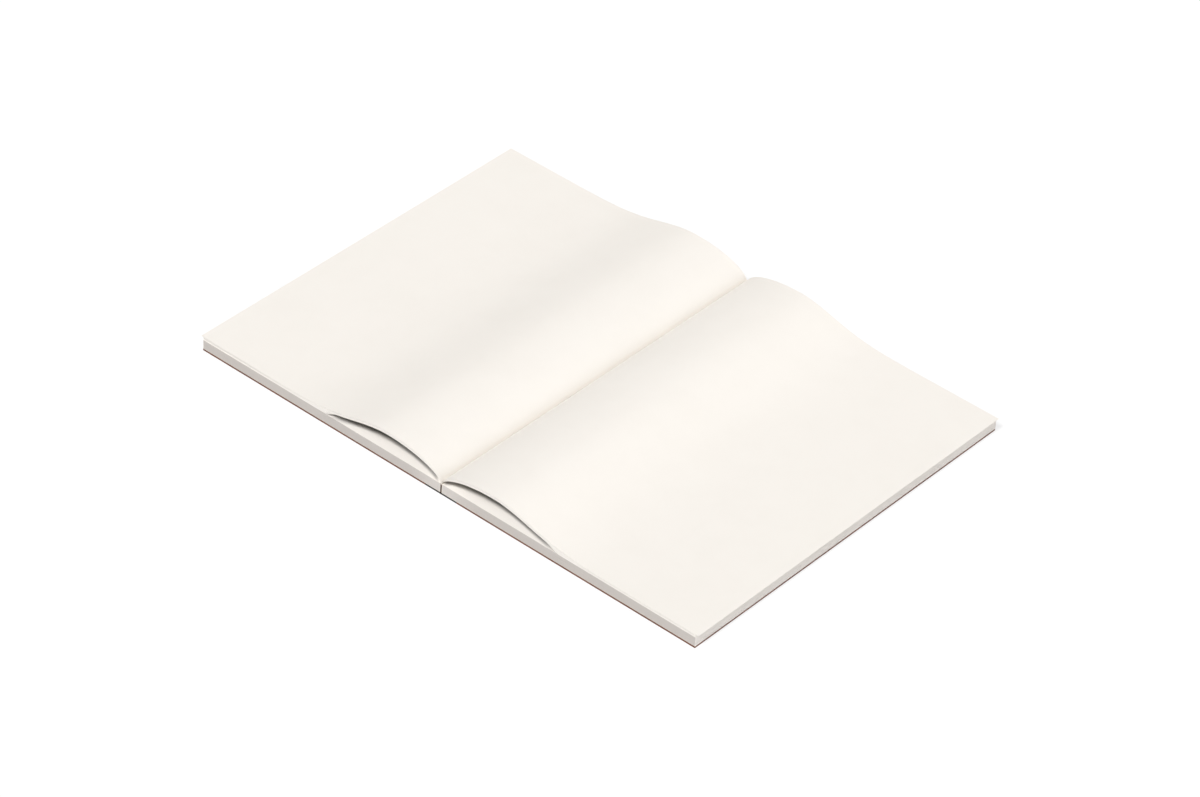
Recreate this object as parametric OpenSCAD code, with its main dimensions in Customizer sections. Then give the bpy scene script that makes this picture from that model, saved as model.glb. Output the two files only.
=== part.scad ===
// Notebook lying open at its middle: two page blocks on kraft card covers, a few
// topmost leaves arching out of the gutter on each side, and a black cloth tape
// that holds the spine. X runs across the spread, Y along the spine, Z is up.

/* [Page size] */
// Width of a leaf, from the glued spine to the fore edge
page_w = 145; // [90:1:220]
// Height of a leaf, along the spine
page_h = 210; // [120:1:300]
// How far the topmost leaf reaches past the fore edge
leaf_overhang = 1.2; // [0:0.1:3]
// Thickness of what reaches past it
leaf_lip_t = 0.3; // [0.2:0.05:0.5]

/* [Stack heights] */
// Height of the flat page block in each half
block_t = 4.87; // [2:0.01:20]
// Height of the loose topmost leaves in each half
upper_t = 1.6; // [0.6:0.1:4]
// Height to which the glue squeezes those leaves at the spine
upper_root_t = 0.6; // [0.3:0.1:0.6]
// Distance from the spine over which they open up to their full height
root_run = 3; // [1:0.5:8]

/* [Arch of the topmost leaves] */
// Crest height of the left arch over its page block
arch_h_left = 9.1; // [3:0.1:20]
// Distance of the left crest from the gutter
crest_x_left = 32; // [15:0.5:45]
// Width of the left arch's outer slope
slope_w_left = 29.5; // [15:0.5:35]
// Crest height of the right arch over its page block
arch_h_right = 8.8; // [3:0.1:20]
// Distance of the right crest from the gutter
crest_x_right = 30.5; // [15:0.5:45]
// Width of the right arch's outer slope
slope_w_right = 28.5; // [15:0.5:35]

/* [Covers and spine] */
// Thickness of the kraft card covers
cover_t = 0.9; // [0.4:0.05:3]
// Width of the black cloth tape's wing on each cover
wing_w = 8.9; // [3:0.1:40]
// Thickness of the cloth tape
cloth_t = 0.25; // [0.15:0.05:0.4]
// Thickness of the kraft paper lining glued to the spine
liner_t = 0.15; // [0.1:0.05:0.4]
// Thickness of the glue on the trimmed spine of the pages
glue_t = 0.23; // [0.1:0.01:0.6]

/* [Clearances] */
// Gap between the two halves where the tape is folded double
fold_gap = 0.04; // [0.02:0.01:0.2]
// Gap between a cover's inner edge and the tape on the spine
hinge_gap = 0.04; // [0.02:0.01:0.2]

/* [Smoothness] */
// Facets on the steep inner side of each arch
rise_steps = 14; // [8:1:30]
// Facets on the gentle outer side of each arch
fall_steps = 18; // [8:1:40]

/* [Hidden] */

paper_color = [0.97, 0.95, 0.92];
block_color = [0.80, 0.78, 0.75];
kraft_color = [0.50, 0.36, 0.28];
cloth_color = [0.10, 0.09, 0.08];
glue_color = [0.90, 0.88, 0.82];

// Heights, counted from the surface that the notebook lies on
block_top = cover_t + block_t;

// Layers of the spine, counted outwards from the middle of the gutter
tape_in = fold_gap / 2;
liner_in = tape_in + cloth_t;
glue_in = liner_in + liner_t;
page_in = glue_in + glue_t;
page_out = page_in + page_w;

// The covers start just past the tape, and the tape's wings lie under them
cover_in = liner_in + hinge_gap;
wing_out = cover_in + wing_w;

// How far a cutting shape reaches past what it cuts
cut = 1;

// The outer slope of an arch ends where it is this share of the crest
slope_end = 0.003;

// Power that shapes the steep side of an arch: 0.5 would be a quarter of an ellipse
rise_power = 0.62;

// Fraction of the crest height on the steep side, for u from 0 at the spine to 1
function rise(u) = pow(1 - pow(1 - u, 2), rise_power);

// Fraction of the crest height on the outer slope, u slope widths past the crest
function fall(u) = (exp(-u * u) - slope_end) / (1 - slope_end);

// Height of the topmost leaves over the page block at distance x from the spine
function arch(x, h, crest, slope) =
    x <= crest ? h * rise(max(0, x / crest)) : h * max(0, fall((x - crest) / slope));

// Height of the stack of topmost leaves at distance x from the spine
function leaves_t(x) = upper_root_t + (upper_t - upper_root_t) * (1 - exp(-x / root_run));

// Places of the facet edges: close together where the arch is steep
function arch_xs(crest, slope) = concat(
    [for (k = [0 : rise_steps]) crest * (1 - cos(90 * k / rise_steps))],
    [for (k = [1 : fall_steps]) crest + slope * sqrt(-ln(slope_end)) * k / fall_steps]
);

// Extrudes an outline drawn in X and Z over a length centred on the spine
module along_spine(length) {
    translate([0, length / 2, 0])
        rotate([90, 0, 0])
            linear_extrude(length) children();
}

// A plate between two distances from the gutter and two heights
module layer(x1, x2, z1, z2, length) {
    along_spine(length)
        translate([x1, z1])
            square([x2 - x1, z2 - z1]);
}

// All modules draw the right half; this turns it into the left one
module left_half() {
    mirror([1, 0, 0]) children();
}

module page_block() {
    layer(page_in, page_out, cover_t, block_top, page_h);
}

// Bundle of topmost leaves, flush with the fore edge but for its thin topmost lip
module upper_leaves(h, crest, slope) {
    end = page_out - tape_in;
    xs = concat([for (x = arch_xs(crest, slope)) if (x < page_w) x], [end]);
    under = [for (x = xs) [x + tape_in, block_top + arch(x, h, crest, slope)]];
    last = len(xs) - 1;
    lip_top = under[last] + [leaf_overhang, leaves_t(end)];
    lip = [lip_top - [leaf_overhang, leaf_lip_t], lip_top - [0, leaf_lip_t], lip_top];
    along_spine(page_h)
        polygon(concat(
            under,
            leaf_overhang > 0 ? lip : [],
            [for (k = [last : -1 : 0]) under[k] + [0, leaves_t(xs[k])]]
        ));
}

// Card that is cut back under the tape's wing, so that the wing lies flush
module cover() {
    layer(wing_out, page_out, 0, cover_t, page_h);
    layer(cover_in, wing_out, cloth_t, cover_t, page_h - 2 * cloth_t);
}

// Wing of the tape on a cover, turned in over the card at head and tail
module cover_tape() {
    difference() {
        layer(cover_in, wing_out, 0, cover_t, page_h);
        layer(cover_in - cut, wing_out + cut, cloth_t, cover_t + cut, page_h - 2 * cloth_t);
    }
}

module spine_tape() {
    layer(tape_in, liner_in, 0, block_top, page_h);
}

module spine_liner() {
    layer(liner_in, glue_in, cover_t, block_top, page_h);
}

module spine_glue() {
    layer(glue_in, page_in, cover_t, block_top, page_h);
}

module left_page_block() { color(block_color) left_half() page_block(); }
module right_page_block() { color(block_color) page_block(); }
module left_upper_leaves() {
    color(paper_color) left_half() upper_leaves(arch_h_left, crest_x_left, slope_w_left);
}
module right_upper_leaves() {
    color(paper_color) upper_leaves(arch_h_right, crest_x_right, slope_w_right);
}
module front_cover() { color(kraft_color) left_half() cover(); }
module back_cover() { color(kraft_color) cover(); }
module front_cover_tape() { color(cloth_color) left_half() cover_tape(); }
module back_cover_tape() { color(cloth_color) cover_tape(); }
module left_spine_tape() { color(cloth_color) left_half() spine_tape(); }
module right_spine_tape() { color(cloth_color) spine_tape(); }
module left_spine_liner() { color(kraft_color) left_half() spine_liner(); }
module right_spine_liner() { color(kraft_color) spine_liner(); }
module left_spine_glue() { color(glue_color) left_half() spine_glue(); }
module right_spine_glue() { color(glue_color) spine_glue(); }

left_page_block();
right_page_block();
left_upper_leaves();
right_upper_leaves();
front_cover();
back_cover();
front_cover_tape();
back_cover_tape();
left_spine_tape();
right_spine_tape();
left_spine_liner();
right_spine_liner();
left_spine_glue();
right_spine_glue();
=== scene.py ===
import math
import random

import bmesh
import bpy
from mathutils import Matrix, Vector


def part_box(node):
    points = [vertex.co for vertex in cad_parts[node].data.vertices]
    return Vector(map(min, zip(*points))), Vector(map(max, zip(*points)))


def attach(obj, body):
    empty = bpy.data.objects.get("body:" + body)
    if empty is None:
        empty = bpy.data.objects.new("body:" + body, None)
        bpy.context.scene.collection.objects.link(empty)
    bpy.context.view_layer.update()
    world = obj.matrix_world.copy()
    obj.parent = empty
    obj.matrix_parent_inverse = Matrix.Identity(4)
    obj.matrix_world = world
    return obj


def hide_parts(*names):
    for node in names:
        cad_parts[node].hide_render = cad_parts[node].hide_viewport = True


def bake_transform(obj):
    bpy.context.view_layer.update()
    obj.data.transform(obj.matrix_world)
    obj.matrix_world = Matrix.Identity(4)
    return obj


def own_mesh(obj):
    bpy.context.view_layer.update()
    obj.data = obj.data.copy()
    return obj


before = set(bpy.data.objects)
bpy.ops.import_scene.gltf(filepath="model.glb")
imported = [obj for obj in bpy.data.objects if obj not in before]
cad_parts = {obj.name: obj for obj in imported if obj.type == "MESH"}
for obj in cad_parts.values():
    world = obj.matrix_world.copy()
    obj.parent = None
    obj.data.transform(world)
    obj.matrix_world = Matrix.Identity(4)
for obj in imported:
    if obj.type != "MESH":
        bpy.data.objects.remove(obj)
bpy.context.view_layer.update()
print("frame loaded:", len(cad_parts), "nodes")

mm = 0.001

# Heights and edges that the solids already hold
blockLow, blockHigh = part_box("right_page_block")
blockTop = blockHigh.z
blockBottom = blockLow.z
foreEdge = blockHigh.x
spineEdge = blockLow.x
halfLength = blockHigh.y
leafRoot, leafEnd = (corner.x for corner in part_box("right_upper_leaves"))
tapeInner, tapeOuter = (corner.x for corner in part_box("right_spine_tape"))
wingInner, wingOuter = (corner.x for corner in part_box("back_cover_tape"))
clothHeight = tapeOuter - tapeInner

halves = {
    "left": {
        "sign": -1,
        "crestHeight": 9.1 * mm,
        "crestPlace": 32 * mm,
        "slopeWidth": 29.5 * mm,
        "fanStart": 63 * mm,       # further out the bundle's lower leaves lie down on the block
        "cornerLift": 0.20 * mm,   # the topmost leaf's outer near corner curls up a little
        "cornerBack": 0.16 * mm,   # and reaches past the leaves under it
        "pages": "left_pages",
        "cover": "front_cover",
        "seed": 3,
    },
    "right": {
        "sign": 1,
        "crestHeight": 8.8 * mm,
        "crestPlace": 30.5 * mm,
        "slopeWidth": 28.5 * mm,
        "fanStart": 61 * mm,
        "cornerLift": 0.02 * mm,
        "cornerBack": 0.02 * mm,
        "pages": "right_pages",
        "cover": "back_cover",
        "seed": 8,
    },
}


# Camera, with the photograph's view angle
cameraSet = {
    "target": (4.73 * mm, -3.99 * mm, 0),
    "distance": 2201.57 * mm,
    "azimuth": 38.403,
    "elevation": 37.922,
    "roll": 4.178,
    "lens": 146.82,
    "sensor": 36,
    "clip": (0.05, 20),
}


def buildCamera(spec):
    azimuth, elevation, roll = (math.radians(spec[key]) for key in ("azimuth", "elevation", "roll"))
    back = Vector((math.sin(azimuth) * math.cos(elevation),
                   -math.cos(azimuth) * math.cos(elevation),
                   math.sin(elevation)))
    right = Vector((math.cos(azimuth), math.sin(azimuth), 0))
    up = back.cross(right)
    rolledRight = right * math.cos(roll) + up * math.sin(roll)
    rolledUp = up * math.cos(roll) - right * math.sin(roll)
    place = Vector(spec["target"]) + back * spec["distance"]
    camera = bpy.data.objects.new("photoCamera", bpy.data.cameras.new("photoCamera"))
    camera.matrix_world = Matrix((
        (rolledRight.x, rolledUp.x, back.x, place.x),
        (rolledRight.y, rolledUp.y, back.y, place.y),
        (rolledRight.z, rolledUp.z, back.z, place.z),
        (0, 0, 0, 1),
    ))
    camera.data.sensor_width = spec["sensor"]
    camera.data.sensor_fit = "HORIZONTAL"
    camera.data.lens = spec["lens"]
    camera.data.clip_start, camera.data.clip_end = spec["clip"]
    bpy.context.collection.objects.link(camera)
    bpy.context.scene.camera = camera
    print("camera placed")


# Node helpers
def newGroup(name, inputs, outputs):
    group = bpy.data.node_groups.new(name, "ShaderNodeTree")
    for label, kind, value in inputs:
        socket = group.interface.new_socket(label, in_out="INPUT", socket_type=kind)
        if value is not None:
            socket.default_value = value
    for label, kind in outputs:
        group.interface.new_socket(label, in_out="OUTPUT", socket_type=kind)
    start = group.nodes.new("NodeGroupInput")
    end = group.nodes.new("NodeGroupOutput")
    return group, start, end


def addNode(tree, kind, settings=None, **values):
    node = tree.nodes.new(kind)
    for key, value in (settings or {}).items():
        setattr(node, key, value)
    for key, value in values.items():
        node.inputs[key.replace("_", " ")].default_value = value
    return node


def addMath(tree, operation, first, second=None):
    node = addNode(tree, "ShaderNodeMath", {"operation": operation})
    for slot, value in enumerate((first, second)):
        if value is None:
            continue
        if isinstance(value, (int, float)):
            node.inputs[slot].default_value = value
        else:
            tree.links.new(value, node.inputs[slot])
    return node.outputs[0]


def splitVector(tree, vector):
    split = addNode(tree, "ShaderNodeSeparateXYZ")
    tree.links.new(vector, split.inputs[0])
    return split.outputs


def mapRange(tree, value, low, high, newLow=0.0, newHigh=1.0, smooth=True):
    node = addNode(tree, "ShaderNodeMapRange",
                   {"interpolation_type": "SMOOTHSTEP" if smooth else "LINEAR", "clamp": True})
    node.inputs["From Min"].default_value = low
    node.inputs["From Max"].default_value = high
    node.inputs["To Min"].default_value = newLow
    node.inputs["To Max"].default_value = newHigh
    tree.links.new(value, node.inputs["Value"])
    return node.outputs["Result"]


# The colour sockets of a Mix node come after those for numbers and vectors
def mixColours(tree, factor, first, second):
    node = addNode(tree, "ShaderNodeMix", {"data_type": "RGBA"})
    for index, value in ((6, first), (7, second)):
        if isinstance(value, tuple):
            node.inputs[index].default_value = (*value, 1)
        else:
            tree.links.new(value, node.inputs[index])
    tree.links.new(factor, node.inputs[0])
    return node.outputs[2]


def addBump(tree, shader, height, strength, distance):
    bump = addNode(tree, "ShaderNodeBump", Strength=strength, Distance=distance)
    tree.links.new(height, bump.inputs["Height"])
    tree.links.new(bump.outputs["Normal"], shader.inputs["Normal"])


def placeGroup(tree, group, vector, **values):
    node = tree.nodes.new("ShaderNodeGroup")
    node.node_tree = group
    tree.links.new(vector, node.inputs["Vector"])
    for key, value in values.items():
        node.inputs[key.replace("_", " ")].default_value = value
    return node


def startMaterial(name, roughness, colour, gloss=0.2):
    material = bpy.data.materials.new(name)
    material.use_nodes = True
    tree = material.node_tree
    shader = tree.nodes["Principled BSDF"]
    shader.inputs["Roughness"].default_value = roughness
    shader.inputs["Base Color"].default_value = (*colour, 1)
    shader.inputs["Specular IOR Level"].default_value = gloss
    place = tree.nodes.new("ShaderNodeTexCoord")
    return material, tree, shader, place.outputs["Object"]


# Fibres of paper and card: long soft clouds, short fibres and sparse flecks
fibreSet = {
    "cloudScale": 45,
    "fibreScale": 900,
    "fleckScale": 420,
    "stretch": (1.0, 3.5, 2.0),
    "turn": (0.0, 0.0, 0.6),
    "fleckEdge": (0.16, 0.05),           # distance from its middle where it starts and is full
}


def buildFibreGroup(spec):
    group, start, end = newGroup(
        "paperFibre",
        [("Vector", "NodeSocketVector", None), ("Scale", "NodeSocketFloat", 1.0),
         ("Fleck Amount", "NodeSocketFloat", 0.3)],
        [("Cloud", "NodeSocketFloat"), ("Fleck", "NodeSocketFloat"), ("Height", "NodeSocketFloat")],
    )
    cloud = addNode(group, "ShaderNodeTexNoise", Detail=5.0, Roughness=0.6)
    fibre = addNode(group, "ShaderNodeTexNoise", Detail=8.0, Roughness=0.75)
    stretch = addNode(group, "ShaderNodeMapping", Scale=spec["stretch"], Rotation=spec["turn"])
    fleck = addNode(group, "ShaderNodeTexVoronoi", {"feature": "F1"})
    for node in (cloud, stretch):
        group.links.new(start.outputs["Vector"], node.inputs["Vector"])
    for node in (fibre, fleck):
        group.links.new(stretch.outputs["Vector"], node.inputs["Vector"])
    for node, key in ((cloud, "cloudScale"), (fibre, "fibreScale"), (fleck, "fleckScale")):
        group.links.new(addMath(group, "MULTIPLY", start.outputs["Scale"], spec[key]),
                        node.inputs["Scale"])
    fleckMask = mapRange(group, fleck.outputs["Distance"], *spec["fleckEdge"], smooth=False)
    group.links.new(cloud.outputs["Fac"], end.inputs["Cloud"])
    group.links.new(addMath(group, "MULTIPLY", fleckMask, start.outputs["Fleck Amount"]),
                    end.inputs["Fleck"])
    group.links.new(fibre.outputs["Fac"], end.inputs["Height"])
    return group


# Plain weave of book cloth: warp and weft ridges that pass over each other
def buildWeaveGroup():
    group, start, end = newGroup(
        "clothWeave",
        [("Vector", "NodeSocketVector", None), ("Threads Per Metre", "NodeSocketFloat", 2500.0)],
        [("Height", "NodeSocketFloat")],
    )
    scaled = addNode(group, "ShaderNodeVectorMath", {"operation": "SCALE"})
    group.links.new(start.outputs["Vector"], scaled.inputs[0])
    group.links.new(addMath(group, "MULTIPLY", start.outputs["Threads Per Metre"], math.pi),
                    scaled.inputs["Scale"])
    parts = splitVector(group, scaled.outputs["Vector"])
    across = addMath(group, "ADD", parts["X"], parts["Z"])
    warp = addMath(group, "ABSOLUTE", addMath(group, "SINE", across))
    weft = addMath(group, "ABSOLUTE", addMath(group, "SINE", parts["Y"]))
    turn = addMath(group, "MULTIPLY",
                   addMath(group, "SINE", addMath(group, "MULTIPLY", across, 0.5)),
                   addMath(group, "SINE", addMath(group, "MULTIPLY", parts["Y"], 0.5)))
    over = addMath(group, "ADD", addMath(group, "MULTIPLY", turn, 0.5), 0.5)
    mixed = addNode(group, "ShaderNodeMix", {"data_type": "FLOAT"})
    group.links.new(over, mixed.inputs["Factor"])
    group.links.new(warp, mixed.inputs["A"])
    group.links.new(weft, mixed.inputs["B"])
    group.links.new(mixed.outputs["Result"], end.inputs["Height"])
    return group


# Writing paper. A pair of values is where an effect starts and where it is full
paperLook = {
    "colour": (0.925, 0.884, 0.828),
    "shade": (0.905, 0.863, 0.805),
    "cloudRange": (0.35, 0.75),
    "cloudShare": 0.6,
    "fleck": (0.84, 0.79, 0.72),
    "fleckAmount": 0.12,
    "undersideShade": (0.42, 0.40, 0.38),     # painted shade: the hollow under the arch is painted dim
    "undersideFacing": (-0.3, -0.6),     # by the upward part of the normal
    "undersidePlace": (4 * mm, 14 * mm),
    "roughness": 0.82,
    "roughnessSpread": 0.06,
    "grainRange": (0.3, 0.7),
    "bump": 0.12,
    "bumpDepth": 0.05 * mm,
}


def paperMaterial(name, look, fibreGroup):
    material, tree, shader, vector = startMaterial(name, look["roughness"], look["colour"])
    fibre = placeGroup(tree, fibreGroup, vector, Scale=1.0, Fleck_Amount=look["fleckAmount"])
    clouds = mapRange(tree, fibre.outputs["Cloud"], *look["cloudRange"], 0, look["cloudShare"])
    clouded = mixColours(tree, clouds, look["colour"], look["shade"])
    flecked = mixColours(tree, fibre.outputs["Fleck"], clouded, look["fleck"])
    # Painted shade: downward faces away from the gutter are painted dim, for the hollow under the
    # arch
    facing = splitVector(tree, tree.nodes.new("ShaderNodeTexCoord").outputs["Normal"])
    downward = mapRange(tree, facing["Z"], *look["undersideFacing"])
    away = addMath(tree, "ABSOLUTE", splitVector(tree, vector)["X"])
    inside = mapRange(tree, away, *look["undersidePlace"])
    undersideShadeMask = addMath(tree, "MULTIPLY", downward, inside)
    hollow = mixColours(tree, undersideShadeMask, flecked, look["undersideShade"])
    tree.links.new(hollow, shader.inputs["Base Color"])
    rough = mapRange(tree, fibre.outputs["Height"], *look["grainRange"],
                     look["roughness"] - look["roughnessSpread"],
                     look["roughness"] + look["roughnessSpread"])
    tree.links.new(rough, shader.inputs["Roughness"])
    addBump(tree, shader, fibre.outputs["Height"], look["bump"], look["bumpDepth"])
    return material


# Trimmed edges of the leaves, with painted shade: grey on head and tail for the shade between the
# leaves, paler on the fore edge
edgeLook = {
    # painted shade: head and tail are painted grey for the shade between the leaves, and paler near
    # the spine
    "headAndTail": (0.605, 0.567, 0.535),
    "foreEdge": (0.95, 0.908, 0.865),
    "foreEdgeDepth": (0.2 * mm, 0.13 * mm),
    "nearSpine": (0.70, 0.66, 0.625),
    "nearSpinePlace": (22 * mm, 2 * mm),
    "streak": (0.50, 0.47, 0.44),
    "streakRange": (0.45, 0.75),
    "streakShare": 0.16,
    "streakScale": 60,
    "leafPitch": 0.1 * mm,
    # painted light: the block top is painted paler than the paper, to brighten the lit rim of the
    # hollow
    "top": (0.965, 0.92, 0.865),
    "topDepth": (0.01 * mm, 0.002 * mm),
    "hollow": (0.42, 0.40, 0.38),        # painted shade on the block top deep under the arch
    "hollowSight": (3.3 * mm, 0.9 * mm), # counted from where the arch's edge hides it
    "hollowArch": (1.5 * mm, 3.5 * mm),  # where the arch is lower the block top stays pale
    "fibreScale": 1.6,
    "fleckAmount": 0.1,
    "roughness": 0.9,
    "bump": 0.08,
    "bumpDepth": 0.02 * mm,
}


# Height of the arch over the block, from the distance to the gutter
def archNodes(tree, away):
    crest, slope, height = (sum(half[key] for half in halves.values()) / 2
                            for key in ("crestPlace", "slopeWidth", "crestHeight"))
    climbed = addMath(tree, "MINIMUM", 1, addMath(tree, "DIVIDE", away, crest))
    inner = addMath(tree, "POWER", addMath(tree, "SUBTRACT", 1, climbed), 2)
    rise = addMath(tree, "POWER", addMath(tree, "SUBTRACT", 1, inner), leafShape["risePower"])
    past = addMath(tree, "SUBTRACT", addMath(tree, "MAXIMUM", away, crest), crest)
    outer = addMath(tree, "POWER", addMath(tree, "DIVIDE", past, slope), 2)
    fall = addMath(tree, "EXPONENT", addMath(tree, "MULTIPLY", outer, -1))
    return addMath(tree, "MULTIPLY", addMath(tree, "MULTIPLY", rise, fall), height)


def edgeMaterial(name, look, fibreGroup):
    material, tree, shader, vector = startMaterial(name, look["roughness"], look["headAndTail"])
    place = splitVector(tree, vector)
    away = addMath(tree, "ABSOLUTE", place["X"])
    # Painted shade: head and tail grey, paler towards the spine
    nearSpine = mapRange(tree, away, *look["nearSpinePlace"])
    shadedEdgeGrey = mixColours(tree, nearSpine, look["headAndTail"], look["nearSpine"])
    sideways = mapRange(tree, away, *(foreEdge - depth for depth in look["foreEdgeDepth"]))
    sided = mixColours(tree, sideways, shadedEdgeGrey, look["foreEdge"])
    # Streaks along the cut: single leaves stay lighter or darker over a long stretch
    streak = addNode(tree, "ShaderNodeTexNoise", Scale=1.0, Detail=3.0, Roughness=0.55)
    mapping = addNode(tree, "ShaderNodeMapping",
                      Scale=(look["streakScale"], look["streakScale"], 1.0 / look["leafPitch"]))
    tree.links.new(vector, mapping.inputs["Vector"])
    tree.links.new(mapping.outputs["Vector"], streak.inputs["Vector"])
    streaks = mapRange(tree, streak.outputs["Fac"], *look["streakRange"], 0, look["streakShare"])
    streaked = mixColours(tree, streaks, sided, look["streak"])
    upward = mapRange(tree, place["Z"], *(blockTop - depth for depth in look["topDepth"]))
    # Painted shade: the hollow is painted darker along a slanting line of sight that leaves it
    # under the arch's edge
    depth = addMath(tree, "SUBTRACT", halfLength, addMath(tree, "ABSOLUTE", place["Y"]))
    slant = addMath(tree, "MULTIPLY", addMath(tree, "SIGN", place["Y"]), depth)
    leaving = addMath(tree, "ABSOLUTE", addMath(tree, "SUBTRACT", place["X"], slant))
    arch = archNodes(tree, leaving)
    hollowShadeMask = mapRange(tree, addMath(tree, "SUBTRACT", arch, depth), *look["hollowSight"])
    hollowShadeMask = addMath(tree, "MULTIPLY", hollowShadeMask, mapRange(tree, arch, *look["hollowArch"]))
    shaded = mixColours(tree, hollowShadeMask, look["top"], look["hollow"])
    tree.links.new(mixColours(tree, upward, streaked, shaded), shader.inputs["Base Color"])
    fibre = placeGroup(tree, fibreGroup, vector, Scale=look["fibreScale"],
                       Fleck_Amount=look["fleckAmount"])
    addBump(tree, shader, addMath(tree, "ADD", streak.outputs["Fac"], fibre.outputs["Height"]),
            look["bump"], look["bumpDepth"])
    return material


# Brown kraft card
kraftLook = {
    "colour": (0.190, 0.069, 0.033),
    "shade": (0.140, 0.048, 0.023),
    "cloudRange": (0.3, 0.7),
    "fleck": (0.31, 0.145, 0.08),
    "fleckAmount": 0.55,
    "grainRange": (0.5, 0.75),
    "grainShare": 0.3,
    "roughness": 0.78,
    "roughnessSpread": 0.08,
    "gloss": 0.1,
    "bump": 0.35,
    "bumpDepth": 0.06 * mm,
}


def kraftMaterial(name, look, fibreGroup):
    material, tree, shader, vector = startMaterial(name, look["roughness"], look["colour"],
                                                   look["gloss"])
    fibre = placeGroup(tree, fibreGroup, vector, Scale=1.0, Fleck_Amount=look["fleckAmount"])
    clouds = mapRange(tree, fibre.outputs["Cloud"], *look["cloudRange"])
    clouded = mixColours(tree, clouds, look["colour"], look["shade"])
    grains = mapRange(tree, fibre.outputs["Height"], *look["grainRange"], 0, look["grainShare"])
    grained = mixColours(tree, grains, clouded, look["fleck"])
    flecked = mixColours(tree, fibre.outputs["Fleck"], grained, look["fleck"])
    tree.links.new(flecked, shader.inputs["Base Color"])
    rough = mapRange(tree, fibre.outputs["Cloud"], *look["cloudRange"],
                     look["roughness"] - look["roughnessSpread"],
                     look["roughness"] + look["roughnessSpread"])
    tree.links.new(rough, shader.inputs["Roughness"])
    addBump(tree, shader, fibre.outputs["Height"], look["bump"], look["bumpDepth"])
    return material


# Black woven cloth of the tape
clothLook = {
    "colour": (0.008, 0.006, 0.005),
    "thread": (0.030, 0.023, 0.020),
    "threadsPerMetre": 2400.0,
    "fibreScale": 0.8,
    "fleckAmount": 0.2,
    "wornRange": (0.5, 0.8),
    "wornShare": 0.5,
    "roughness": 0.72,
    "rougher": 0.12,                     # between the threads
    "smoother": 0.1,                     # on top of them
    "gloss": 0.12,
    "bump": 0.5,
    "bumpDepth": 0.06 * mm,
}


def clothMaterial(name, look, weaveGroup, fibreGroup):
    material, tree, shader, vector = startMaterial(name, look["roughness"], look["colour"],
                                                   look["gloss"])
    weave = placeGroup(tree, weaveGroup, vector, Threads_Per_Metre=look["threadsPerMetre"])
    fibre = placeGroup(tree, fibreGroup, vector, Scale=look["fibreScale"],
                       Fleck_Amount=look["fleckAmount"])
    threads = mixColours(tree, weave.outputs["Height"], look["colour"], look["thread"])
    wear = mapRange(tree, fibre.outputs["Cloud"], *look["wornRange"], 0, look["wornShare"])
    tree.links.new(mixColours(tree, wear, threads, look["thread"]), shader.inputs["Base Color"])
    rough = mapRange(tree, weave.outputs["Height"], 0, 1, look["roughness"] + look["rougher"],
                     look["roughness"] - look["smoother"])
    tree.links.new(rough, shader.inputs["Roughness"])
    addBump(tree, shader, weave.outputs["Height"], look["bump"], look["bumpDepth"])
    return material


# Binding glue
glueLook = {
    "plain": (0.86, 0.83, 0.76),
    "colour": (0.88, 0.85, 0.79),
    "shade": (0.80, 0.76, 0.67),
    "clothDepth": (0.006 * mm, 0.003 * mm),
    "fibreScale": 0.5,
    "fleckAmount": 0.1,
    "roughness": 0.45,
    "bump": 0.4,
    "bumpDepth": 0.1 * mm,
}


def glueMaterial(name, look, clothColour, fibreGroup):
    material, tree, shader, vector = startMaterial(name, look["roughness"], look["plain"])
    fibre = placeGroup(tree, fibreGroup, vector, Scale=look["fibreScale"],
                       Fleck_Amount=look["fleckAmount"])
    clouded = mixColours(tree, fibre.outputs["Cloud"], look["colour"], look["shade"])
    # On the outside of the closed spine the beads' faces are cloth
    away = addMath(tree, "ABSOLUTE", splitVector(tree, vector)["X"])
    outside = mapRange(tree, away, *(tapeInner + depth for depth in look["clothDepth"]))
    tree.links.new(mixColours(tree, outside, clouded, clothColour), shader.inputs["Base Color"])
    addBump(tree, shader, fibre.outputs["Cloud"], look["bump"], look["bumpDepth"])
    return material


# Shape of the topmost leaves
leafShape = {
    "risePower": 0.62,           # shapes the steep side: 0.5 would be a quarter of an ellipse
    "slopeEnd": 0.003,           # the outer slope ends at this share of the crest
    "rootHeight": 0.4 * mm,
    "fullHeight": 1.6 * mm,
    "rootRun": 3 * mm,
    "leafHeight": 0.11 * mm,     # one leaf of paper
    "airGap": 0.06 * mm,         # air under the topmost leaf
    "blockGap": 0.01 * mm,       # air between the bundle and the block
    "setBack": 0.06 * mm,        # the rest of the bundle ends this much short of the topmost leaf
    "fanRun": 8.5 * mm,          # its lower leaves come down to the block over this distance
    "stackLeaves": 13,
    "leafProfile": ((0.1, 0.0), (0.9, 0.0), (1.0, 1.0)),   # height in a leaf, depth of its groove
    "grooveDepth": 0.02 * mm,
    "shiftShare": 0.5,           # how far single leaves are set back, as a share of that depth
    "endReach": 0.2 * mm,        # vertices this near to the fore edge take the grooves
    "sideReach": 1 * mm,         # and this near to head and tail
    "ripple": 0.05 * mm,
    "rippleStart": 20 * mm,
    "rippleRun": 60 * mm,
    "rippleLength": 31 * mm,
    "curlStart": 75 * mm,        # distance from the spine where the corner's curl starts
    "curlNear": 35 * mm,         # and from the middle towards the near edge
    "curlRun": 70 * mm,
    "sharpAngle": 30,
    "riseColumns": 22,
    "slopeColumns": 34,
    "flatColumns": 12,
    "rows": 28,
}


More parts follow.
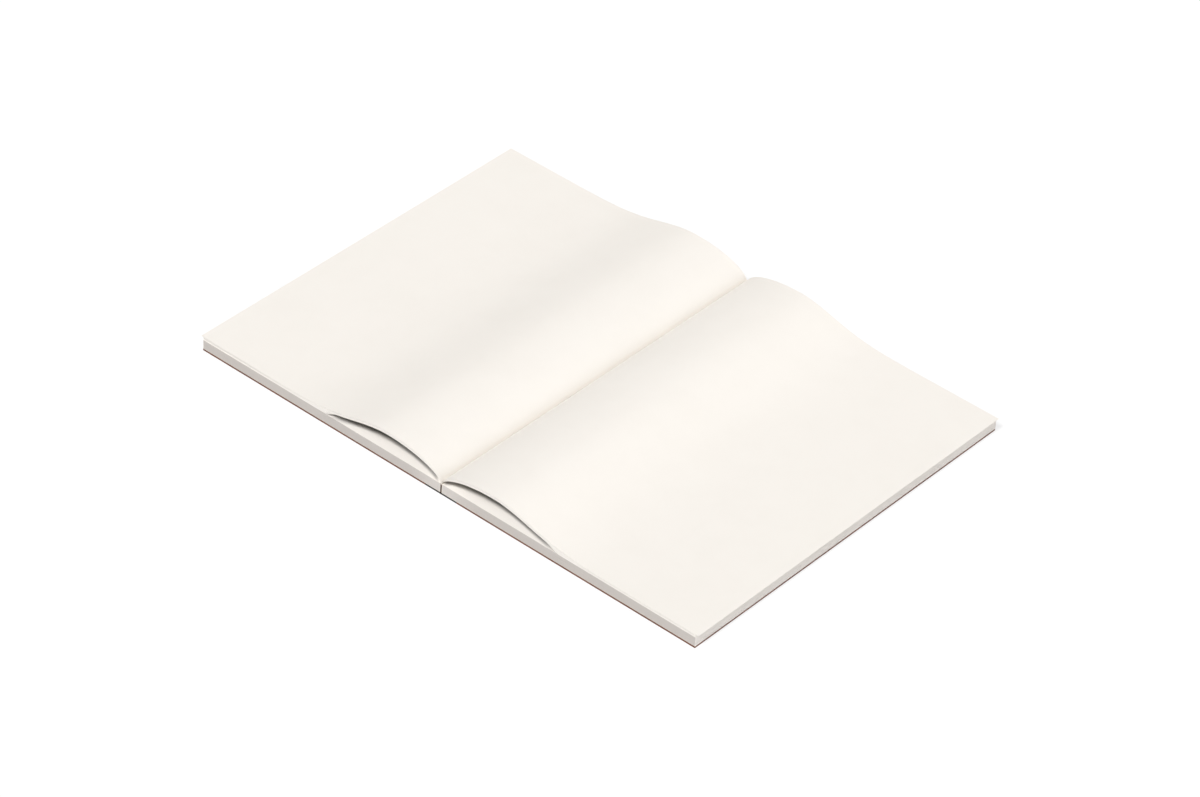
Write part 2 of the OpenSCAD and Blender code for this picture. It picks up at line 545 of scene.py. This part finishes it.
def archHeight(x, half):
    crest = half["crestPlace"]
    if x <= crest:
        share = 1 - max(0.0, x / crest)
        return half["crestHeight"] * (1 - share ** 2) ** leafShape["risePower"]
    end = leafShape["slopeEnd"]
    share = (math.exp(-((x - crest) / half["slopeWidth"]) ** 2) - end) / (1 - end)
    return half["crestHeight"] * max(0.0, share)


def stackHeight(x):
    opened = 1 - math.exp(-x / leafShape["rootRun"])
    return leafShape["rootHeight"] + (leafShape["fullHeight"] - leafShape["rootHeight"]) * opened


def smoothStep(value):
    value = min(1.0, max(0.0, value))
    return value * value * (3 - 2 * value)


def leafColumns(half, end):
    crest = half["crestPlace"]
    slopeReach = half["slopeWidth"] * math.sqrt(-math.log(leafShape["slopeEnd"]))
    flatStart = crest + slopeReach
    columns = [crest * (1 - math.cos(math.pi / 2 * k / leafShape["riseColumns"]))
               for k in range(leafShape["riseColumns"] + 1)]
    columns += [crest + slopeReach * k / leafShape["slopeColumns"]
                for k in range(1, leafShape["slopeColumns"] + 1)]
    columns += [flatStart + (end - flatStart) * k / leafShape["flatColumns"]
                for k in range(1, leafShape["flatColumns"] + 1)]
    return columns


def curlShare(x):
    return smoothStep((x - leafShape["curlStart"]) / leafShape["curlRun"])


# Small lift of the paper: soft ripples along the spine, and the curl of the outer near corner
def paperLift(x, y, half):
    outward = smoothStep((x - leafShape["rippleStart"]) / leafShape["rippleRun"])
    wave = math.sin(y / leafShape["rippleLength"] + half["seed"])
    near = smoothStep((-y - leafShape["curlNear"]) / leafShape["curlRun"])
    return leafShape["ripple"] * outward * wave, half["cornerLift"] * (curlShare(x) * near)


def stretchRow(bm, edges, step):
    made = bmesh.ops.extrude_edge_only(bm, edges=edges)["geom"]
    fresh = [item for item in made if isinstance(item, bmesh.types.BMVert)]
    bmesh.ops.translate(bm, vec=step, verts=fresh)
    known = set(fresh)
    return [item for item in made
            if isinstance(item, bmesh.types.BMEdge) and set(item.verts) <= known]


def leafSheet(half, end):
    bm = bmesh.new()
    row = [bm.verts.new((leafRoot + x, -halfLength, 0)) for x in leafColumns(half, end - leafRoot)]
    edges = [bm.edges.new(pair) for pair in zip(row, row[1:])]
    step = Vector((0, 2 * halfLength / leafShape["rows"], 0))
    for _ in range(leafShape["rows"]):
        edges = stretchRow(bm, edges, step)
    return bm


# Extrudes the faces and moves each new vertex
def extrudeRegion(bm, faces, moveVertex):
    edges = {edge for face in faces for edge in face.edges}
    corners = {vertex for face in faces for vertex in face.verts}
    made = bmesh.ops.extrude_face_region(bm, geom=[*faces, *edges, *corners])["geom"]
    for vertex in (item for item in made if isinstance(item, bmesh.types.BMVert)):
        moveVertex(vertex)
    return [item for item in made if isinstance(item, bmesh.types.BMFace)]


def topmostLeaf(name, half):
    bm = leafSheet(half, leafEnd)
    for vertex in bm.verts:
        x = vertex.co.x - leafRoot
        ripple, curl = paperLift(x, vertex.co.y, half)
        vertex.co.z = blockTop + archHeight(x, half) + stackHeight(x) + ripple + curl
    down = Vector((0, 0, -leafShape["leafHeight"]))

    def drop(vertex):
        vertex.co += down

    extrudeRegion(bm, bm.faces[:], drop)
    return finishPiece(bm, name, half["sign"], leafShape["sharpAngle"])


def leafStack(name, half):
    bm = leafSheet(half, foreEdge)
    topDrop = leafShape["leafHeight"] + leafShape["airGap"]

    def layerHeight(x, y, share):
        ripple, _ = paperLift(x, y, half)
        settled = 1 - smoothStep((x - half["fanStart"]) / leafShape["fanRun"])
        low = blockTop + archHeight(x, half) * settled + leafShape["blockGap"]
        high = blockTop + archHeight(x, half) + stackHeight(x) - topDrop + ripple
        return high + (low - high) * share

    for vertex in bm.verts:
        vertex.co.z = layerHeight(vertex.co.x - leafRoot, vertex.co.y, 0)
    faces = bm.faces[:]
    leaves = leafShape["stackLeaves"]
    depth = leafShape["grooveDepth"]
    rng = random.Random(half["seed"])
    for leaf in range(leaves):
        shift = depth * leafShape["shiftShare"] * rng.random()
        for share, inset in leafShape["leafProfile"]:
            level = (leaf + share) / leaves
            back = shift + inset * depth

            def settle(vertex, level=level, back=back):
                x = vertex.co.x
                if x > foreEdge - leafShape["endReach"]:
                    vertex.co.x = foreEdge - back
                if abs(vertex.co.y) > halfLength - leafShape["sideReach"]:
                    short = leafShape["setBack"] + half["cornerBack"] * curlShare(x)
                    vertex.co.y = math.copysign(halfLength - back - short, vertex.co.y)
                vertex.co.z = layerHeight(min(x, foreEdge) - leafRoot, vertex.co.y, level)

            faces = extrudeRegion(bm, faces, settle)
    return finishPiece(bm, name, half["sign"], leafShape["sharpAngle"])


def finishPiece(bm, name, sign=1, sharpAngle=35):
    if sign < 0:
        bmesh.ops.scale(bm, vec=(-1, 1, 1), verts=bm.verts)
    bm.normal_update()
    bmesh.ops.recalc_face_normals(bm, faces=bm.faces)
    bm.normal_update()
    for face in bm.faces:
        face.smooth = True
    for edge in bm.edges:
        if len(edge.link_faces) == 2 and edge.calc_face_angle(0) > math.radians(sharpAngle):
            edge.smooth = False
    mesh = bpy.data.meshes.new(name)
    bm.to_mesh(mesh)
    bm.free()
    piece = bpy.data.objects.new(name, mesh)
    bpy.context.collection.objects.link(piece)
    return piece


# Flat page block with the cut edge of every leaf
blockShape = {
    "leafPitch": 0.1 * mm,
    "grooveDepth": 0.035 * mm,
    "leafShift": 0.02 * mm,      # how unevenly the single leaves were trimmed
    "waver": 0.012 * mm,
    "waverLength": 9 * mm,
    "fewestLeaves": 4,
    "leafProfile": ((0.12, 0.0), (0.88, 0.0), (1.0, 1.0)),   # height in a leaf, depth of its groove
    "edgeReach": 0.3 * mm,       # vertices this near to an edge take the grooves
    "segments": 23,
    "seedStep": 20,
    "sharpAngle": 25,
}


def pageBlock(name, half):
    bm = bmesh.new()
    bmesh.ops.create_grid(bm, x_segments=1, y_segments=1, size=0.5)
    width = foreEdge - spineEdge
    middle = Vector(((foreEdge + spineEdge) / 2, 0, blockBottom))
    bmesh.ops.scale(bm, vec=(width, 2 * halfLength, 1), verts=bm.verts)
    bmesh.ops.translate(bm, vec=middle, verts=bm.verts)
    bmesh.ops.subdivide_edges(bm, edges=bm.edges[:], cuts=blockShape["segments"])
    faces = bm.faces[:]
    leaves = max(blockShape["fewestLeaves"],
                 round((blockTop - blockBottom) / blockShape["leafPitch"]))
    pitch = (blockTop - blockBottom) / leaves
    rng = random.Random(half["seed"] + blockShape["seedStep"])
    for leaf in range(leaves):
        shift = blockShape["leafShift"] * abs(rng.gauss(0, 1))
        phase = rng.uniform(0, math.tau)
        for share, inset in blockShape["leafProfile"]:
            level = blockBottom + (leaf + share) * pitch

            def settle(vertex, level=level, inset=inset):
                along = vertex.co.x + vertex.co.y
                wave = math.sin(along / blockShape["waverLength"] + phase)
                back = shift + blockShape["waver"] * (1 + wave)
                back += inset * blockShape["grooveDepth"]
                if vertex.co.x > foreEdge - blockShape["edgeReach"]:
                    vertex.co.x = foreEdge - back
                if abs(vertex.co.y) > halfLength - blockShape["edgeReach"]:
                    vertex.co.y = math.copysign(halfLength - back, vertex.co.y)
                vertex.co.z = level

            faces = extrudeRegion(bm, faces, settle)
    return finishPiece(bm, name, half["sign"], blockShape["sharpAngle"])


# Kraft card cover, cut back under the tape
coverShape = {
    "airGap": 0.01 * mm,         # keeps the covers clear of the blocks that they swing from
    "edgeRound": 0.06 * mm,
    "segments": 2,
    "sharpAngle": 50,
}


def addPlate(bm, low, high, roundness=0.0, segments=1):
    made = bmesh.ops.create_cube(bm, size=1)["verts"]
    size = Vector(high) - Vector(low)
    bmesh.ops.scale(bm, vec=size, verts=made)
    bmesh.ops.translate(bm, vec=(Vector(high) + Vector(low)) / 2, verts=made)
    if roundness:
        edges = {edge for vertex in made for edge in vertex.link_edges}
        bmesh.ops.bevel(bm, geom=list(edges), offset=roundness, segments=segments, profile=0.5,
                        affect="EDGES", material=-1)


def coverCard(name, half):
    bm = bmesh.new()
    coverTop = blockBottom - coverShape["airGap"]
    addPlate(bm, (wingOuter, -halfLength, 0), (foreEdge, halfLength, coverTop),
             coverShape["edgeRound"], coverShape["segments"])
    addPlate(bm, (wingInner, -halfLength + clothHeight, clothHeight),
             (wingOuter + coverShape["edgeRound"], halfLength - clothHeight, coverTop))
    return finishPiece(bm, name, half["sign"], coverShape["sharpAngle"])


# Wing of the tape: a strip under the cover that is turned up over its head and tail
tapeShape = {
    "cornerSteps": 4,
    "cornerRadius": 0.1 * mm,
    "strips": 6,
    "foldColumns": 8,
    "foldHeight": 0.2 * mm,
    "foldDrop": 0.4 * mm,        # the fold ends this far below the top of the blocks
    "sharpAngle": 40,
}


def tapeWing(name, half):
    bm = bmesh.new()
    radius = tapeShape["cornerRadius"]
    steps = tapeShape["cornerSteps"]
    # The outside of the strip, from the top of one lip, down, across and up the other
    outline = [(-halfLength, blockBottom - coverShape["airGap"])]
    outline += [(-halfLength + radius - radius * math.cos(math.pi / 2 * k / steps),
                 radius - radius * math.sin(math.pi / 2 * k / steps)) for k in range(steps + 1)]
    outline += [(-y, z) for y, z in reversed(outline)]
    row = [bm.verts.new((wingInner, y, z)) for y, z in outline]
    edges = [bm.edges.new(pair) for pair in zip(row, row[1:])]
    step = Vector(((wingOuter - wingInner) / tapeShape["strips"], 0, 0))
    for _ in range(tapeShape["strips"]):
        edges = stretchRow(bm, edges, step)

    def inside(vertex):
        y, z = vertex.co.y, vertex.co.z
        vertex.co.y = math.copysign(min(abs(y), halfLength - clothHeight), y)
        vertex.co.z = max(z, clothHeight)

    extrudeRegion(bm, bm.faces[:], inside)
    return finishPiece(bm, name, half["sign"], tapeShape["sharpAngle"])


# Tape on the spine, folded double between the halves: two upright stretches and the fold on top
def spineTape(name):
    bm = bmesh.new()
    top = blockTop - tapeShape["foldDrop"]
    under = top - tapeShape["foldHeight"]
    columns = tapeShape["foldColumns"]
    across = [-tapeInner + 2 * tapeInner * k / columns for k in range(columns + 1)]
    outline = [(-tapeOuter, 0), (-tapeOuter, top)]
    outline += [(x, top) for x in across]
    outline += [(tapeOuter, top), (tapeOuter, 0), (tapeInner, 0)]
    outline += [(x, under) for x in reversed(across)]
    outline += [(-tapeInner, 0)]
    ring = [bm.verts.new((x, -halfLength, z)) for x, z in outline]
    face = bm.faces.new(ring)

    def along(vertex):
        vertex.co.y = halfLength

    extrudeRegion(bm, [face], along)
    return finishPiece(bm, name, 1, tapeShape["sharpAngle"])


# Bead of glue that closes the gutter over the folded tape
beadShape = {
    "rise": 0.25 * mm,
    "columns": 5,
    "rows": 60,
    "waver": 0.03 * mm,
    "topReach": 0.01 * mm,       # vertices down to this far under the block top form the curve
    "seedStep": 40,
    "sharpAngle": 50,
}


def gutterBead(name, half):
    bm = bmesh.new()
    low = blockTop - tapeShape["foldDrop"]
    columns = beadShape["columns"]
    outline = [(tapeInner + clothHeight * k / columns,
                blockTop + beadShape["rise"] * (1 - (k / columns) ** 2))
               for k in range(columns + 1)]
    outline += [(tapeOuter, low), (tapeInner, low)]
    ring = [bm.verts.new((x, -halfLength, z)) for x, z in outline]
    faces = [bm.faces.new(ring)]
    step = 2 * halfLength / beadShape["rows"]
    rng = random.Random(half["seed"] + beadShape["seedStep"])
    for row in range(beadShape["rows"]):
        last = row == beadShape["rows"] - 1
        wobble = 0 if last else rng.uniform(-1, 0) * beadShape["waver"]

        def along(vertex, wobble=wobble, y=-halfLength + step * (row + 1)):
            share = (vertex.co.x - tapeInner) / clothHeight
            vertex.co.y = y
            if vertex.co.z > blockTop - beadShape["topReach"]:
                rise = beadShape["rise"] * (1 - share ** 2)
                vertex.co.z = blockTop + rise + wobble * (1 - share)

        faces = extrudeRegion(bm, faces, along)
    return finishPiece(bm, name, half["sign"], beadShape["sharpAngle"])


# Floor and light
stageSet = {
    "floorSize": 6.0,
    "floorDrop": 0.02 * mm,
    "floorRoughness": 0.95,
    "bounceColour": 0.74,        # pale floor as the notebook sees it
    "shownColour": 0.30,         # share of its shading that the camera sees
    "cameraLift": 0.73,          # lifts what the camera sees to white
    "worldLight": 0.20,
    "suns": {
        "keySun": {"strength": 0.82, "azimuth": 5, "elevation": 54, "angle": 17},
        "rightSun": {"strength": 0.31, "azimuth": 92, "elevation": 14, "angle": 40},
        "backSun": {"strength": 0.30, "azimuth": 185, "elevation": 14, "angle": 40},
    },
}


def addSun(name, spec):
    light = bpy.data.lights.new(name, "SUN")
    light.energy = spec["strength"] * math.pi
    light.angle = math.radians(spec["angle"])
    lamp = bpy.data.objects.new(name, light)
    azimuth, elevation = math.radians(spec["azimuth"]), math.radians(spec["elevation"])
    towards = Vector((math.sin(azimuth) * math.cos(elevation),
                      -math.cos(azimuth) * math.cos(elevation),
                      math.sin(elevation)))
    lamp.rotation_euler = towards.to_track_quat("Z", "Y").to_euler()
    lamp.location = towards
    bpy.context.collection.objects.link(lamp)


# Whether a ray ends in what the camera sees, in a reflection or through glass too
def seenRays(tree):
    rays = tree.nodes.new("ShaderNodeLightPath")
    return addMath(tree, "MAXIMUM", rays.outputs["Is Camera Ray"],
                   addMath(tree, "MAXIMUM", rays.outputs["Is Glossy Ray"],
                           rays.outputs["Is Transmission Ray"]))


def buildStage(spec):
    bm = bmesh.new()
    bmesh.ops.create_grid(bm, x_segments=1, y_segments=1, size=spec["floorSize"] / 2)
    floor = finishPiece(bm, "studioFloor")
    floor.location.z = -spec["floorDrop"]
    material = bpy.data.materials.new("floorPaint")
    material.use_nodes = True
    tree = material.node_tree
    shader = tree.nodes["Principled BSDF"]
    shader.inputs["Roughness"].default_value = spec["floorRoughness"]
    shader.inputs["Specular IOR Level"].default_value = 0.0
    shader.inputs["Emission Color"].default_value = (1, 1, 1, 1)
    seen = seenRays(tree)
    bounce, shown = ((spec[key],) * 3 for key in ("bounceColour", "shownColour"))
    tree.links.new(mixColours(tree, seen, bounce, shown), shader.inputs["Base Color"])
    tree.links.new(addMath(tree, "MULTIPLY", seen, spec["cameraLift"]),
                   shader.inputs["Emission Strength"])
    floor.data.materials.append(material)

    world = bpy.data.worlds.new("studioWorld")
    bpy.context.scene.world = world
    world.use_nodes = True
    tree = world.node_tree
    background = tree.nodes["Background"]
    background.inputs["Color"].default_value = (1, 1, 1, 1)
    seen = seenRays(tree)
    strength = addNode(tree, "ShaderNodeMix", {"data_type": "FLOAT"}, A=spec["worldLight"], B=1.0)
    tree.links.new(seen, strength.inputs["Factor"])
    tree.links.new(strength.outputs["Result"], background.inputs["Strength"])
    for name, sun in spec["suns"].items():
        addSun(name, sun)
    bpy.context.scene.view_settings.view_transform = "Standard"
    print("stage and lights placed")


def setMaterial(piece, material):
    piece.data.materials.clear()
    piece.data.materials.append(material)


def paintNode(name, material):
    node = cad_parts[name]
    if not node.material_slots:
        node.data.materials.append(material)
    for slot in node.material_slots:
        slot.material = material


def buildNotebook():
    fibre = buildFibreGroup(fibreSet)
    weave = buildWeaveGroup()
    paper = paperMaterial("writingPaper", paperLook, fibre)
    edges = edgeMaterial("trimmedEdges", edgeLook, fibre)
    kraft = kraftMaterial("kraftCard", kraftLook, fibre)
    cloth = clothMaterial("bookCloth", clothLook, weave, fibre)
    glue = glueMaterial("bindingGlue", glueLook, clothLook["colour"], fibre)
    print("materials built")

    for side, half in halves.items():
        block = pageBlock(side + "PageStack", half)
        setMaterial(block, edges)
        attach(block, half["pages"])
        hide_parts(side + "_page_block")

        stack = leafStack(side + "LooseLeaves", half)
        setMaterial(stack, paper)
        top = topmostLeaf(side + "TopLeaf", half)
        setMaterial(top, paper)
        for piece in (stack, top):
            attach(piece, half["pages"])
            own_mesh(piece)
        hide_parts(side + "_upper_leaves")

        bead = gutterBead(side + "GutterBead", half)
        setMaterial(bead, glue)
        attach(bead, half["pages"])

        card = coverCard(half["cover"] + "Card", half)
        setMaterial(card, kraft)
        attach(card, half["cover"])
        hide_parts(half["cover"])

        wing = tapeWing(half["cover"] + "TapeWing", half)
        setMaterial(wing, cloth)
        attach(wing, half["cover"])
        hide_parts(half["cover"] + "_tape")

        paintNode(side + "_spine_liner", kraft)
        paintNode(side + "_spine_glue", glue)
        print(side, "half built")

    tape = spineTape("spineTape")
    setMaterial(tape, cloth)
    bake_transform(tape)
    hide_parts("left_spine_tape", "right_spine_tape")
    print("spine tape built")


buildCamera(cameraSet)
buildStage(stageSet)
buildNotebook()
